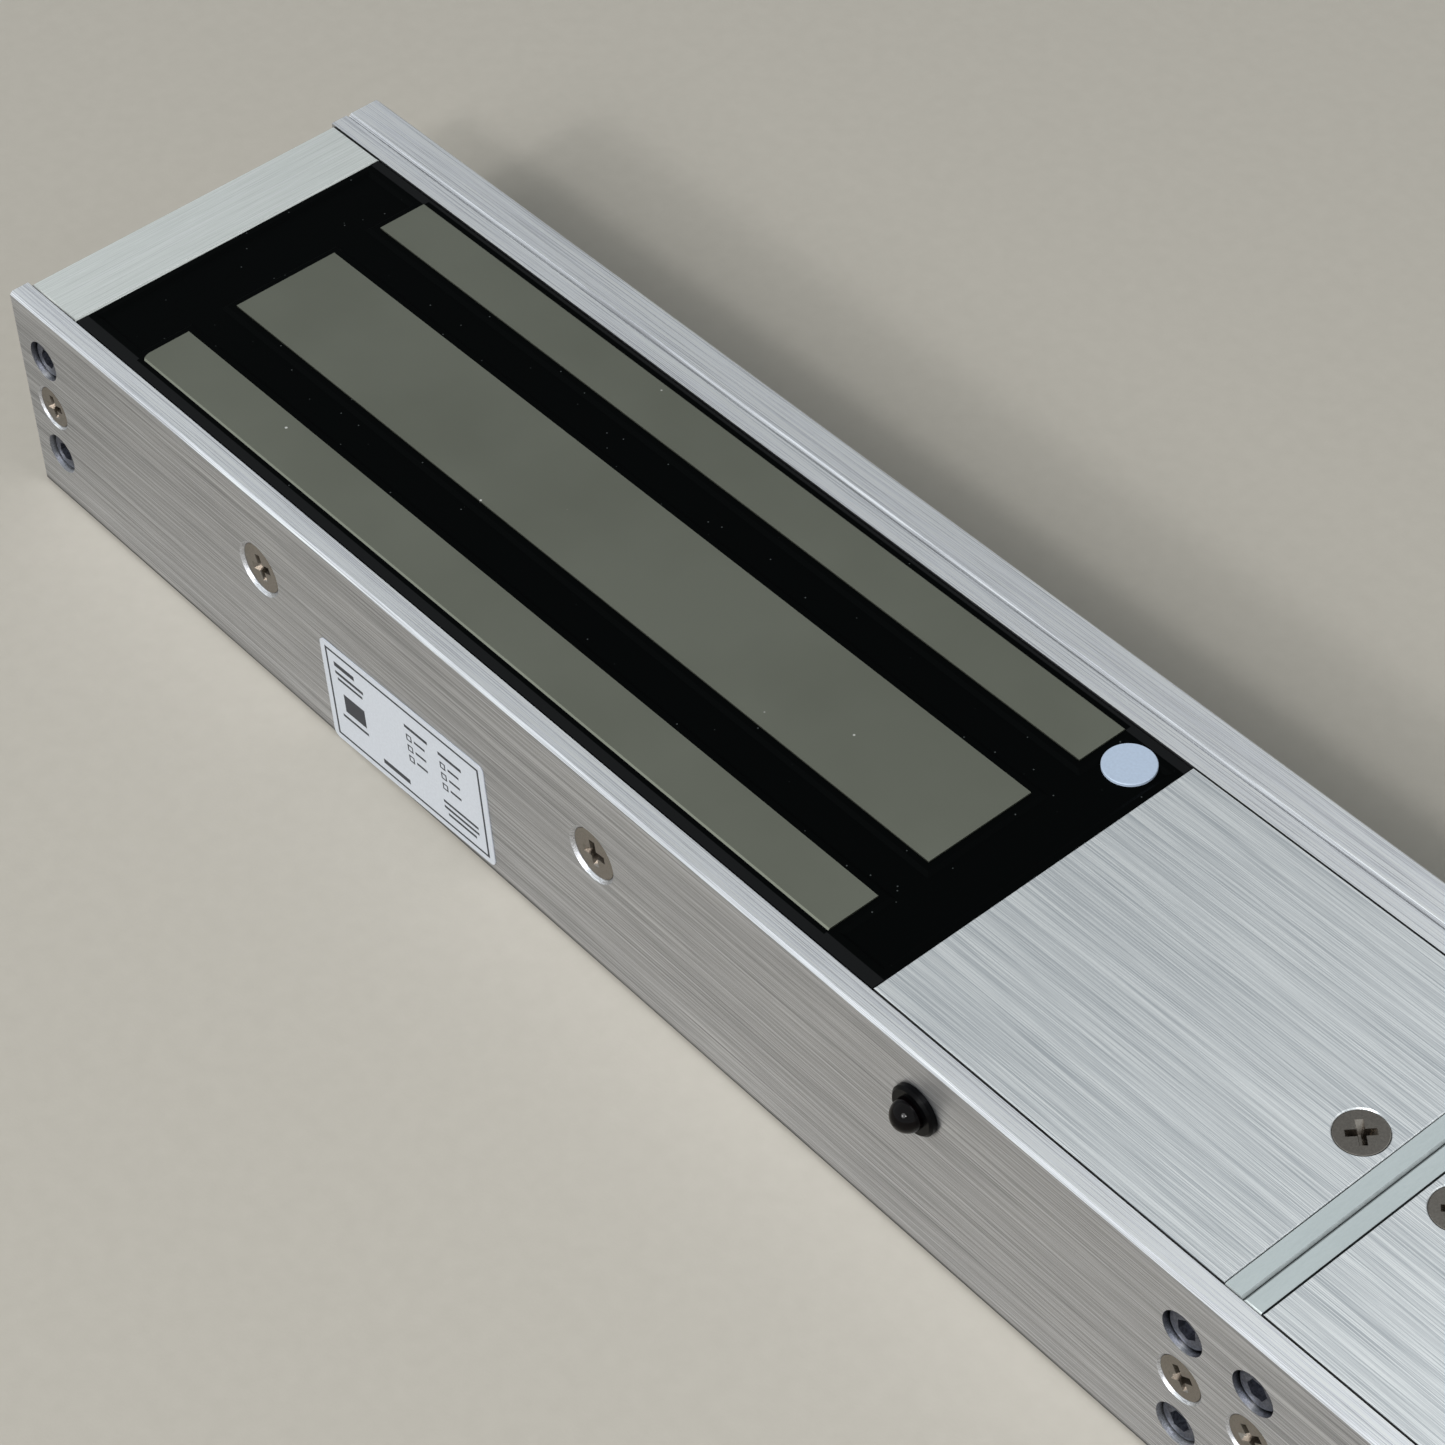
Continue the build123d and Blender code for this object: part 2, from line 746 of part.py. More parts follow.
with BuildPart() as potting:
    with BuildSketch(Plane.XY.offset(core_bottom)):
        with Locations((tray_middle, trough_middle)):
            Rectangle(trough_length, trough_width)
        with Locations((-core_centre, core_middle)):
            Rectangle(*core_seat)
    extrude(amount=potting_top - core_bottom)
    with BuildSketch(Plane.XY.offset(tray_end_top)):
        with Locations((tray_middle, trough_middle)):
            Rectangle(tray_length, trough_width)
    extrude(amount=potting_top - tray_end_top)
    with BuildSketch(Plane.XY.offset(potting_top)):
        with Locations((tray_middle, trough_middle)):
            Rectangle(tray_length - 2 * meniscus_width, trough_width - 2 * meniscus_width)
        for pole_middle, pole_width in pole_places:
            with Locations((-core_centre, pole_middle)):
                Rectangle(
                    core_length + 2 * meniscus_width,
                    pole_width + 2 * meniscus_width,
                    mode=Mode.SUBTRACT,
                )
    extrude(amount=-meniscus_depth, taper=meniscus_slope, mode=Mode.SUBTRACT)
    for inner in (potting_tray, magnet_core, coil_bobbin, coil_winding, bond_sensor):
        add(inner.part, mode=Mode.SUBTRACT)
    with BuildSketch(Plane.XY.offset(latch_slot_top)):
        with Locations((-magnet_inner_end, channel_middle)):
            Rectangle(latch_slot_depth, latch_slot_width, align=(Align.MAX, Align.CENTER))
    extrude(amount=-latch_slot_height, mode=Mode.SUBTRACT)
    with Locations(near_plane):
        with Locations(*magnet_screw_points[:2]):
            Hole(magnet_screw_radius + thread_gap, depth=magnet_thread_depth)

# Cover: brushed sheet with a countersunk hole at one end and a latch bent under the other
cover_inner_end = cover_rebate_from_middle + cover_end_gap
cover_outer_end = magnet_inner_end - cover_end_gap
cover_bottom = housing_depth - cover_thickness
latch_top = latch_slot_top - latch_slot_gap
latch_bottom = latch_top - latch_thickness
latch_tip = -magnet_inner_end - latch_slot_depth + latch_end_gap

with BuildPart() as cover:
    with BuildSketch(cover_bottom_plane):
        with Locations((-cover_inner_end, channel_middle + cover_shift)):
            Rectangle(
                cover_outer_end - cover_inner_end,
                channel_width - 2 * cover_side_gap,
                align=(Align.MAX, Align.CENTER),
            )
    extrude(amount=cover_thickness)
    chamfer(cover.faces().sort_by(Axis.Z)[-1].edges(), length=cover_edge_break)
    with BuildSketch(Plane.XZ.offset(-channel_middle)):
        with BuildLine():
            Polyline(
                (-cover_outer_end, cover_bottom),
                (-cover_outer_end, latch_top),
                (latch_tip, latch_top),
                (latch_tip, latch_bottom),
                (-cover_outer_end + latch_thickness, latch_bottom),
                (-cover_outer_end + latch_thickness, cover_bottom),
                close=True,
            )
        make_face()
    extrude(amount=latch_width / 2, both=True)
    with Locations(face_plane):
        with Locations(cover_screw_points[0]):
            CounterSinkHole(
                small_screw_radius + sliding_gap,
                small_head_hole_radius,
                cover_thickness,
                countersink_angle,
            )

# Bezel: a moulded ring with a flange outside the wall and a sleeve through it
lamp_plane = Plane(
    origin=(-lamp_from_middle, near_face, lamp_height),
    x_dir=(1, 0, 0),
    z_dir=(0, -1, 0),
)
lamp_rim_depth = bezel_sleeve_length - lamp_rim_thickness

with BuildPart() as lamp_bezel:
    with BuildSketch(lamp_plane):
        Circle(bezel_radius)
    extrude(amount=bezel_flange)
    chamfer(lamp_bezel.faces().sort_by(Axis.Y)[0].edges(), length=bezel_edge_break)
    with BuildSketch(lamp_plane):
        Circle(bezel_sleeve_radius)
    extrude(amount=-bezel_sleeve_length)
    with BuildSketch(lamp_plane.offset(bezel_flange)):
        Circle(lamp_radius + lamp_gap)
    extrude(amount=-(bezel_flange + bezel_sleeve_length), mode=Mode.SUBTRACT)
    with BuildSketch(lamp_plane.offset(-lamp_rim_depth)):
        Circle(lamp_rim_radius + lamp_gap)
    extrude(amount=-lamp_rim_thickness, mode=Mode.SUBTRACT)

# Lamp: a domed 5 mm body with a rim and two wire legs
dome_centre_plane = lamp_plane.offset(lamp_tip_reach - lamp_radius)

with BuildPart() as lamp:
    with BuildSketch(dome_centre_plane):
        Circle(lamp_radius)
    extrude(amount=-(lamp_tip_reach - lamp_radius + bezel_sleeve_length))
    with BuildSketch(lamp_plane.offset(-lamp_rim_depth)):
        Circle(lamp_rim_radius)
    extrude(amount=-lamp_rim_thickness)
    with Locations(dome_centre_plane):
        Sphere(lamp_radius)
    with BuildSketch(lamp_plane.offset(-bezel_sleeve_length)):
        with GridLocations(lamp_leg_spacing, 1, 2, 1):
            Rectangle(lamp_leg_width, lamp_leg_width)
    extrude(amount=-lamp_leg_length)

# Label: a thin sheet with rounded corners, stuck on slightly askew
with BuildPart() as label_sheet:
    with BuildSketch(near_plane):
        with Locations(Location((-label_from_middle, label_height, 0), (0, 0, label_tilt))):
            RectangleRounded(*label_size, label_corner_radius)
    extrude(amount=label_thickness)

# Grommet: a rubber bush through the far wall's cable hole, with its flange on the plate's side
with BuildPart() as cable_grommet:
    with BuildSketch(far_inside_plane):
        with Locations(cable_points[0]):
            Circle(grommet_neck_radius)
    extrude(amount=-(wall + grommet_flange_thickness))
    with BuildSketch(plate_inner_plane):
        with Locations(cable_points[0]):
            Circle(grommet_flange_radius)
    extrude(amount=-grommet_flange_thickness)
    with Locations(far_inside_plane):
        with Locations(cable_points[0]):
            Hole(grommet_bore_radius, depth=wall + grommet_flange_thickness)

# Fasteners, one group for each kind
block_screws = screw_group(
    near_plane,
    block_points,
    small_screw_radius,
    small_head_radius,
    small_head_hole_radius,
    block_screw_length,
)
magnet_screws = screw_group(
    near_plane,
    magnet_screw_points,
    magnet_screw_radius,
    magnet_head_radius,
    magnet_head_hole_radius,
    magnet_screw_length,
)
cover_screws = screw_group(
    face_plane,
    cover_screw_points,
    small_screw_radius,
    small_head_radius,
    small_head_hole_radius,
    cover_screw_length,
)

bolt_head_plane = near_plane.offset(-bolt_head_recess)
bolt_seat_plane = bolt_head_plane.offset(-bolt_head_height)
bolt_length = housing_width + plate_thickness - bolt_end_inset - bolt_head_recess - bolt_head_height

with BuildPart() as mounting_bolts:
    with BuildSketch(bolt_head_plane):
        with Locations(*bolt_points):
            Circle(bolt_head_radius)
    extrude(amount=-bolt_head_height)
    with BuildSketch(bolt_seat_plane):
        with Locations(*bolt_points):
            Circle(bolt_radius)
    extrude(amount=-bolt_length)
    with BuildSketch(bolt_head_plane):
        with Locations(*bolt_points):
            RegularPolygon(hex_socket_width / 2, 6, major_radius=False)
    extrude(amount=-hex_socket_depth, mode=Mode.SUBTRACT)

# One file for each piece: single pieces first, then each left piece with its mirror image
os.makedirs("parts", exist_ok=True)

single_pieces = {
    "housing_channel": housing_channel,
    "mounting_plate": mounting_plate,
    "mounting_bolts": mounting_bolts,
    "block_screws": block_screws,
    "magnet_screws": magnet_screws,
    "cover_screws": cover_screws,
    "label_sheet": label_sheet,
}
left_pieces = {
    "end_block": end_block,
    "centre_block": centre_block,
    "magnet_core": magnet_core,
    "coil_bobbin": coil_bobbin,
    "coil_winding": coil_winding,
    "potting_tray": potting_tray,
    "potting": potting,
    "bond_sensor": bond_sensor,
    "coil_leads": coil_leads,
    "sensor_leads": sensor_leads,
    "lamp_leads": lamp_leads,
    "cover": cover,
    "lamp_bezel": lamp_bezel,
    "lamp": lamp,
    "circuit_board": circuit_board,
    "board_rails": board_rails,
    "terminal_block": terminal_block,
    "relay": relay,
    "surge_suppressor": surge_suppressor,
    "voltage_jumper": voltage_jumper,
    "lead_headers": lead_headers,
    "cable_grommet": cable_grommet,
}

for name, piece in single_pieces.items():
    piece.part.label = name
    export_step(piece.part, f"parts/{name}.step")

for name, piece in left_pieces.items():
    piece.part.label = f"{name}_left"
    export_step(piece.part, f"parts/{name}_left.step")
    with BuildPart() as twin:
        mirror(piece.part, about=Plane.YZ)
    twin.part.label = f"{name}_right"
    export_step(twin.part, f"parts/{name}_right.step")
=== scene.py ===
import math

import bmesh
import bpy
from mathutils import Matrix, Vector


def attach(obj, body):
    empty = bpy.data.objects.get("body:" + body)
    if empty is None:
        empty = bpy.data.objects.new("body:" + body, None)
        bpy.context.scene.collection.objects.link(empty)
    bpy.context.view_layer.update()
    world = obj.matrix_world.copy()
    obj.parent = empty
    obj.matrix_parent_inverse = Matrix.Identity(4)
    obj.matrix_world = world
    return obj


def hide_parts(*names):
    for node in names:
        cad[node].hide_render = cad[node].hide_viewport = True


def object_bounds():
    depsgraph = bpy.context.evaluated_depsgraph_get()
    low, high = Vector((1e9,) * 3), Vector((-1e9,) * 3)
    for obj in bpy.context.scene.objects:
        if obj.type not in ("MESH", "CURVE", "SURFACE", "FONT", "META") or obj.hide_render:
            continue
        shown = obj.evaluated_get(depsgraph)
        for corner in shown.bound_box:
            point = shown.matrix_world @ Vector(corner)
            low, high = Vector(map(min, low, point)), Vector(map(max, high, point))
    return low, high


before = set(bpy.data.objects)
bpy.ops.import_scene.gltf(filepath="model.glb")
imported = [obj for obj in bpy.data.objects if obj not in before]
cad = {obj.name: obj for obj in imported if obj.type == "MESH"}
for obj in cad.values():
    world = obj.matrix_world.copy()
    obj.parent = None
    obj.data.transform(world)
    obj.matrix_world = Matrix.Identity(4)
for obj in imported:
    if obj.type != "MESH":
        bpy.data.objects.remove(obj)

# A double electromagnetic door lock, lying on its back on a table with the magnet faces up.
# Everything is in metres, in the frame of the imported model: X along the lock, Z out of the
# magnet faces.
cad_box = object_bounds()
mm = 0.001


def both(name):
    """The left and the right piece of one kind."""
    return [cad[f"{name}_left"], cad[f"{name}_right"]]


# Camera: a phone held above the lock's right half, looking down along it to the left end.
# The lens is long enough that the picture takes in a little more than the left half.
# Its focal length is in pixels of the picture, as fitted to the lock's straight edges.
camera_azimuth = math.radians(51.45)
camera_elevation = math.radians(45.51)
camera_roll = math.radians(-2.857)
camera_place = Vector((197.43, -267.14, 450.68)) * mm
picture_width = 1445
focal_length = 4109.3
sensor_width = 36.0

camera = bpy.data.objects.new("camera", bpy.data.cameras.new("camera"))
bpy.context.scene.collection.objects.link(camera)
bpy.context.scene.camera = camera
camera.data.sensor_width = sensor_width
camera.data.lens = sensor_width * focal_length / picture_width
camera.data.clip_start = 10 * mm
camera.data.clip_end = 100.0
towards_camera = Vector(
    (
        math.sin(camera_azimuth) * math.cos(camera_elevation),
        -math.cos(camera_azimuth) * math.cos(camera_elevation),
        math.sin(camera_elevation),
    )
)
level = towards_camera.to_track_quat("Z", "Y").to_matrix().to_4x4()
camera.matrix_world = (
    Matrix.Translation(camera_place) @ level @ Matrix.Rotation(camera_roll, 4, "Z")
)


# Table top: a smooth warm grey laminate with a faint mottle, much larger than the lock.
# Its matt finish gives the eye a soft shadow and no reflection of the lock. The grain, 0.1 mm on
# the real laminate, is drawn five times coarser so that the picture can hold it.
def linear(colour):
    """The linear colour that a shader takes, from an sRGB hex colour."""
    parts = [int(colour[i : i + 2], 16) / 255 for i in (1, 3, 5)]
    bent = [c / 12.92 if c <= 0.04045 else ((c + 0.055) / 1.055) ** 2.4 for c in parts]
    return (*bent, 1.0)


def new_material(name):
    """A node material with nothing in it but its output."""
    made = bpy.data.materials.new(name)
    made.use_nodes = True
    made.node_tree.nodes.clear()
    made.node_tree.nodes.new("ShaderNodeOutputMaterial")
    return made


def add(material, kind, inputs=None, **settings):
    """Adds a node with its settings. Each input is a value, or the socket that feeds it."""
    tree = material.node_tree
    made = tree.nodes.new(kind)
    for name, value in settings.items():
        setattr(made, name, value)
    for name, value in (inputs or {}).items():
        socket = made.inputs[name]
        if isinstance(value, bpy.types.NodeSocket):
            tree.links.new(value, socket)
        else:
            socket.default_value = value
    if "BSDF" in made.outputs:
        tree.links.new(made.outputs["BSDF"], tree.nodes["Material Output"].inputs["Surface"])
    return made


def set_stops(ramp, *stops):
    """Gives a colour ramp its stops, as pairs of a place and a colour."""
    elements = ramp.color_ramp.elements
    while len(elements) < len(stops):
        elements.new(0.5)
    for element, (place, colour) in zip(elements, stops):
        element.position = place
        element.color = colour
    return ramp


table_size = 8.0
mottle_size = 3 * mm
laminate_grain_size = 0.5 * mm

table_laminate = new_material("matt_grey_laminate")
place = add(table_laminate, "ShaderNodeTexCoord").outputs["Object"]
mottle = add(
    table_laminate,
    "ShaderNodeTexNoise",
    {"Vector": place, "Scale": 1 / mottle_size, "Detail": 3.0},
)
mottle_colour = add(
    table_laminate, "ShaderNodeValToRGB", {"Fac": mottle.outputs["Fac"]}
)
set_stops(mottle_colour, (0.3, linear("#b8b3a9")), (0.7, linear("#bbb6ac")))
laminate_grain = add(
    table_laminate,
    "ShaderNodeTexNoise",
    {"Vector": place, "Scale": 1 / laminate_grain_size, "Detail": 2.0},
)
laminate_bump = add(
    table_laminate,
    "ShaderNodeBump",
    {"Height": laminate_grain.outputs["Fac"], "Strength": 0.4, "Distance": 0.03 * mm},
)
add(
    table_laminate,
    "ShaderNodeBsdfPrincipled",
    {
        "Base Color": mottle_colour.outputs["Color"],
        "Roughness": 0.62,
        "IOR": 1.5,
        "Specular IOR Level": 0.2,
        "Normal": laminate_bump.outputs["Normal"],
    },
)

bpy.ops.mesh.primitive_plane_add(size=table_size, location=(0, 0, cad_box[0].z))
table_top = bpy.context.object
table_top.name = "table_top"
table_top.data.materials.append(table_laminate)


# Light: a room that is bright on the near side and dim beyond the lock, as with a window wall.
# Metal mirrors it at the strength room_mirrored, and it lights the table at room_lit. The corner
# that the magnet faces mirror to the camera is dim, so the poles and the potting stay dark.
room_lit = 0.59
room_mirrored = 1.6
room_dim_share = 0.2
bright_side = (0.25, -0.65, 0.72)
dim_corner = (-0.55, 0.44, 0.71)
# The outer and the inner edge of the dim corner, as cosines of the angle to its middle
dim_corner_edges = (0.95, 0.99)

world = bpy.data.worlds.new("room_with_window_wall")
bpy.context.scene.world = world
world.use_nodes = True
towards = add(world, "ShaderNodeTexCoord").outputs["Generated"]
room_facing = add(
    world, "ShaderNodeVectorMath", {0: towards, 1: bright_side}, operation="DOT_PRODUCT"
)
room_level = add(
    world, "ShaderNodeMapRange", {"Value": room_facing.outputs["Value"], "From Min": -1.0}
)
room_shade = add(world, "ShaderNodeValToRGB", {"Fac": room_level.outputs["Result"]})
set_stops(
    room_shade,
    (0.0, linear("#6c6f72")),
    (0.35, linear("#7a7e80")),
    (0.55, linear("#c8cdcf")),
    (0.80, linear("#cfd4d5")),
)
rays = add(world, "ShaderNodeLightPath")
room_seen = add(
    world,
    "ShaderNodeMath",
    {0: rays.outputs["Is Camera Ray"], 1: rays.outputs["Is Glossy Ray"]},
    operation="MAXIMUM",
)
room_strength = add(
    world,
    "ShaderNodeMapRange",
    {"Value": room_seen.outputs["Value"], "To Min": room_lit, "To Max": room_mirrored},
)
corner_facing = add(
    world, "ShaderNodeVectorMath", {0: towards, 1: dim_corner}, operation="DOT_PRODUCT"
)
corner_shade = add(
    world,
    "ShaderNodeMapRange",
    {
        "Value": corner_facing.outputs["Value"],
        "From Min": dim_corner_edges[0],
        "From Max": dim_corner_edges[1],
        "To Min": 1.0,
        "To Max": room_dim_share,
    },
    interpolation_type="SMOOTHSTEP",
)
room_dimmed = add(
    world,
    "ShaderNodeMath",
    {0: room_strength.outputs["Result"], 1: corner_shade.outputs["Result"]},
    operation="MULTIPLY",
)
background = world.node_tree.nodes["Background"]
world.node_tree.links.new(room_shade.outputs["Color"], background.inputs["Color"])
world.node_tree.links.new(room_dimmed.outputs["Value"], background.inputs["Strength"])

# Lamps: a large soft one on the near side with two small ones for glints on the indicator lamps
# and the screws, and a weaker one beyond the right end that fills the shadow.
# Each has its direction, its distance and diameter in metres, and its power in watts.
studio_lamps = {
    "near_softbox": (Vector((0.17, -0.70, 0.62)), 3.0, 1.5, 52.0),
    "far_right_softbox": (Vector((0.72, 0.44, 0.55)), 2.2, 0.9, 2.5),
    "near_spot": (Vector((0.40, -0.62, 0.68)), 2.4, 0.2, 12.0),
    "near_spot_beside": (Vector((0.10, -0.80, 0.60)), 2.4, 0.2, 9.0),
}
for name, (lamp_direction, lamp_distance, lamp_size, lamp_power) in studio_lamps.items():
    lamp_data = bpy.data.lights.new(name, "AREA")
    lamp_data.shape = "DISK"
    lamp_data.size = lamp_size
    lamp_data.energy = lamp_power
    lamp_object = bpy.data.objects.new(name, lamp_data)
    bpy.context.scene.collection.objects.link(lamp_object)
    lamp_object.location = lamp_direction.normalized() * lamp_distance
    lamp_object.rotation_euler = lamp_direction.to_track_quat("Z", "Y").to_euler()
bpy.context.scene.view_settings.view_transform = "Standard"


# Housing channel and mounting plate: aluminium extrusions, brushed along their length and clear
# anodised. The brushing gives the eye fine streaks along the lock and a reflection spread across
# them. Its lines, about 0.05 mm wide, are drawn about three times as wide here and below.

# Painted shade darkens the seams and the corners within a millimetre of them, by ambient occlusion
seam_reach = 0.7 * mm
seam_painted_shade = 0.2
# Painted shade also darkens the foot of each side, in a line just above the broken edge of the
# back, where the lock meets the table
foot_start = 0.5 * mm
foot_end = 1.3 * mm
foot_painted_shade = 0.1
# Faces that look up get a painted highlight, in full once the Z of their normal reaches this
top_highlight_full = 0.9


def brushed_aluminium(
    name,
    grain,
    fine,
    broad,
    broad_share,
    dark,
    light,
    roughness,
    depth,
    top_highlight_gain=0.0,
    top_highlight_from=0.85,
):
    """Anodised aluminium brushed along the axis called grain. The streaks fine and broad are
    pairs of a length and a width. Faces that look up out of the lock get a painted highlight:
    their colour is lighter by top_highlight_gain, which comes in as the Z of the normal goes
    from top_highlight_from to top_highlight_full. Seams, corners and the foot of each side
    get painted shade."""
    made = new_material(name)
    place = add(made, "ShaderNodeTexCoord").outputs["Object"]
    layers = []
    for length, width in (fine, broad):
        stretch = [1 / width] * 3
        stretch["XYZ".index(grain)] = 1 / length
        streaks_place = add(
            made, "ShaderNodeVectorMath", {0: place, 1: tuple(stretch)}, operation="MULTIPLY"
        )
        streaks = add(
            made,
            "ShaderNodeTexNoise",
            {
                "Vector": streaks_place.outputs["Vector"],
                "Scale": 1.0,
                "Detail": 3.0,
                "Roughness": 0.7,
            },
        )
        layers.append(streaks.outputs["Fac"])
    mixed = add(
        made, "ShaderNodeMix", {"Factor": broad_share, "A": layers[0], "B": layers[1]}
    )
    streak_colour = add(made, "ShaderNodeValToRGB", {"Fac": mixed.outputs["Result"]})
    set_stops(streak_colour, (0.4, linear(dark)), (0.6, linear(light)))
    facing = add(made, "ShaderNodeNewGeometry").outputs["Normal"]
    facing_axes = add(made, "ShaderNodeSeparateXYZ", {"Vector": facing})
    # Painted highlight: the colour of faces that look up is made lighter, by the Z of their normal
    top_highlight_value = add(
        made,
        "ShaderNodeMapRange",
        {
            "Value": facing_axes.outputs["Z"],
            "From Min": top_highlight_from,
            "From Max": top_highlight_full,
            "To Min": 1.0,
            "To Max": 1.0 + top_highlight_gain,
        },
    )
    # Painted shade: the colour darkens where ambient occlusion finds a seam or a corner close by
    seams = add(made, "ShaderNodeAmbientOcclusion", {"Distance": seam_reach}, samples=4)
    seam_occlusion_shade = add(
        made,
        "ShaderNodeMapRange",
        {
            "Value": seams.outputs["AO"],
            "From Min": 0.3,
            "From Max": 0.9,
            "To Min": seam_painted_shade,
            "To Max": 1.0,
        },
    )
    # Painted shade: a dark line low on each side, just above the back that lies on the table
    height = add(made, "ShaderNodeSeparateXYZ", {"Vector": place})
    contact_shade_factor = add(
        made,
        "ShaderNodeMapRange",
        {
            "Value": height.outputs["Z"],
            "From Min": foot_start,
            "From Max": foot_end,
            "To Min": foot_painted_shade,
            "To Max": 1.0,
        },
    )
    # The painted shade of the foot and of the seams together
    painted_shade_factor = add(
        made,
        "ShaderNodeMath",
        {0: contact_shade_factor.outputs["Result"], 1: seam_occlusion_shade.outputs["Result"]},
        operation="MULTIPLY",
    )
    value = add(
        made,
        "ShaderNodeMath",
        {0: top_highlight_value.outputs["Result"], 1: painted_shade_factor.outputs["Value"]},
        operation="MULTIPLY",
    )
    shaded_colour = add(
        made,
        "ShaderNodeHueSaturation",
        {"Color": streak_colour.outputs["Color"], "Value": value.outputs["Value"]},
    )
    streak_roughness = add(
        made,
        "ShaderNodeMapRange",
        {
            "Value": layers[0],
            "From Min": 0.3,
            "From Max": 0.7,
            "To Min": roughness + 0.06,
            "To Max": roughness - 0.06,
        },
    )
    grooves = add(
        made,
        "ShaderNodeBump",
        {"Height": layers[0], "Strength": 1.0, "Distance": depth},
    )
    across = add(made, "ShaderNodeTangent", direction_type="RADIAL", axis=grain)
    add(
        made,
        "ShaderNodeBsdfPrincipled",
        {
            "Base Color": shaded_colour.outputs["Color"],
            "Metallic": 1.0,
            "Roughness": streak_roughness.outputs["Result"],
            "Anisotropic": 0.7,
            "Tangent": across.outputs["Tangent"],
            "Normal": grooves.outputs["Normal"],
        },
    )
    return made


def dress(objects, material):
    """Gives each object the material in all its slots."""
    for thing in objects:
        thing.data.materials.clear()
        thing.data.materials.append(material)


# Its faces that look up, and the chamfers along its edges, get a painted highlight
housing_aluminium = brushed_aluminium(
    "brushed_anodised_extrusion",
    grain="X",
    fine=(30 * mm, 0.13 * mm),
    broad=(90 * mm, 0.5 * mm),
    broad_share=0.25,
    dark="#939396",
    light="#d8d9dd",
    roughness=0.38,
    depth=0.006 * mm,
    top_highlight_gain=0.9,
    top_highlight_from=0.5,
)
dress([cad["housing_channel"], cad["mounting_plate"]], housing_aluminium)

# End blocks and centre blocks: sawn from flat aluminium bar and brushed across the lock.
# The centre blocks are only tumbled, so their tops look even and a little greener.
# The tops of both kinds of block get a painted highlight
end_block_aluminium = brushed_aluminium(
    "brushed_bar_aluminium",
    grain="Y",
    fine=(15 * mm, 0.12 * mm),
    broad=(40 * mm, 0.5 * mm),
    broad_share=0.2,
    dark="#b2b4b1",
    light="#cbcdca",
    roughness=0.44,
    depth=0.005 * mm,
    top_highlight_gain=0.7,
)
centre_block_aluminium = brushed_aluminium(
    "tumbled_bar_aluminium",
    grain="Y",
    fine=(1.5 * mm, 0.5 * mm),
    broad=(20 * mm, 4 * mm),
    broad_share=0.4,
    dark="#adb3b3",
    light="#b2b8b8",
    roughness=0.5,
    depth=0.001 * mm,
    top_highlight_gain=0.6,
)
dress(both("end_block"), end_block_aluminium)
dress(both("centre_block"), centre_block_aluminium)

# Covers: 2 mm aluminium sheet, brushed more coarsely than the housing, clear anodised.
# The streaks run along the lock and stand out more than those beside them.
cover_aluminium = brushed_aluminium(
    "brushed_sheet_aluminium",
    grain="X",
    fine=(26 * mm, 0.16 * mm),
    broad=(90 * mm, 0.8 * mm),
    broad_share=0.25,
    dark="#bbbfc3",
    light="#feffff",
    roughness=0.42,
    depth=0.006 * mm,
)
dress(both("cover"), cover_aluminium)

# Magnet cores: stacks of silicon steel sheets, welded, ground flat over the poles and zinc plated.
# The passivated plating gives the eye a dark olive grey with a dull, even sheen and a few bright
# nicks. The grinding grain is drawn at 0.3 mm, coarser than the real 0.05 mm.
core_grain_size = 0.3 * mm
core_cloud_size = 25 * mm
nick_spacing = 9 * mm

core_steel = new_material("ground_plated_steel")
place = add(core_steel, "ShaderNodeTexCoord").outputs["Object"]
core_clouds = add(
    core_steel,
    "ShaderNodeTexNoise",
    {"Vector": place, "Scale": 1 / core_cloud_size, "Detail": 3.0},
)
core_colour = add(core_steel, "ShaderNodeValToRGB", {"Fac": core_clouds.outputs["Fac"]})
set_stops(core_colour, (0.35, linear("#7c7e72")), (0.65, linear("#828478")))
core_nicks = add(
    core_steel,
    "ShaderNodeTexVoronoi",
    {"Vector": place, "Scale": 1 / nick_spacing, "Randomness": 1.0},
)
nick_mask = add(
    core_steel,
    "ShaderNodeMapRange",
    {
        "Value": core_nicks.outputs["Distance"],
        "From Min": 0.018,
        "From Max": 0.03,
        "To Min": 1.0,
        "To Max": 0.0,
    },
)
nicked_colour = add(
    core_steel,
    "ShaderNodeMix",
    {
        "Factor": nick_mask.outputs["Result"],
        "A": core_colour.outputs["Color"],
        "B": linear("#f2f0ea"),
    },
    data_type="RGBA",
)
core_grain = add(
    core_steel,
    "ShaderNodeTexNoise",
    {"Vector": place, "Scale": 1 / core_grain_size, "Detail": 2.0},
)
core_bump = add(
    core_steel,
    "ShaderNodeBump",
    {"Height": core_grain.outputs["Fac"], "Strength": 0.5, "Distance": 0.004 * mm},
)
add(
    core_steel,
    "ShaderNodeBsdfPrincipled",
    {
        "Base Color": nicked_colour.outputs["Result"],
        "Metallic": 0.9,
        "Roughness": 0.4,
        "Normal": core_bump.outputs["Normal"],
    },
)
dress(both("magnet_core"), core_steel)

# Potting: black epoxy, poured round the coil and cured.
# It is nearly black, with a low gloss, and pale dust shows on it as specks, drawn coarser than
# dust is.
speck_spacing = 2.4 * mm
pour_wave_length = 7 * mm

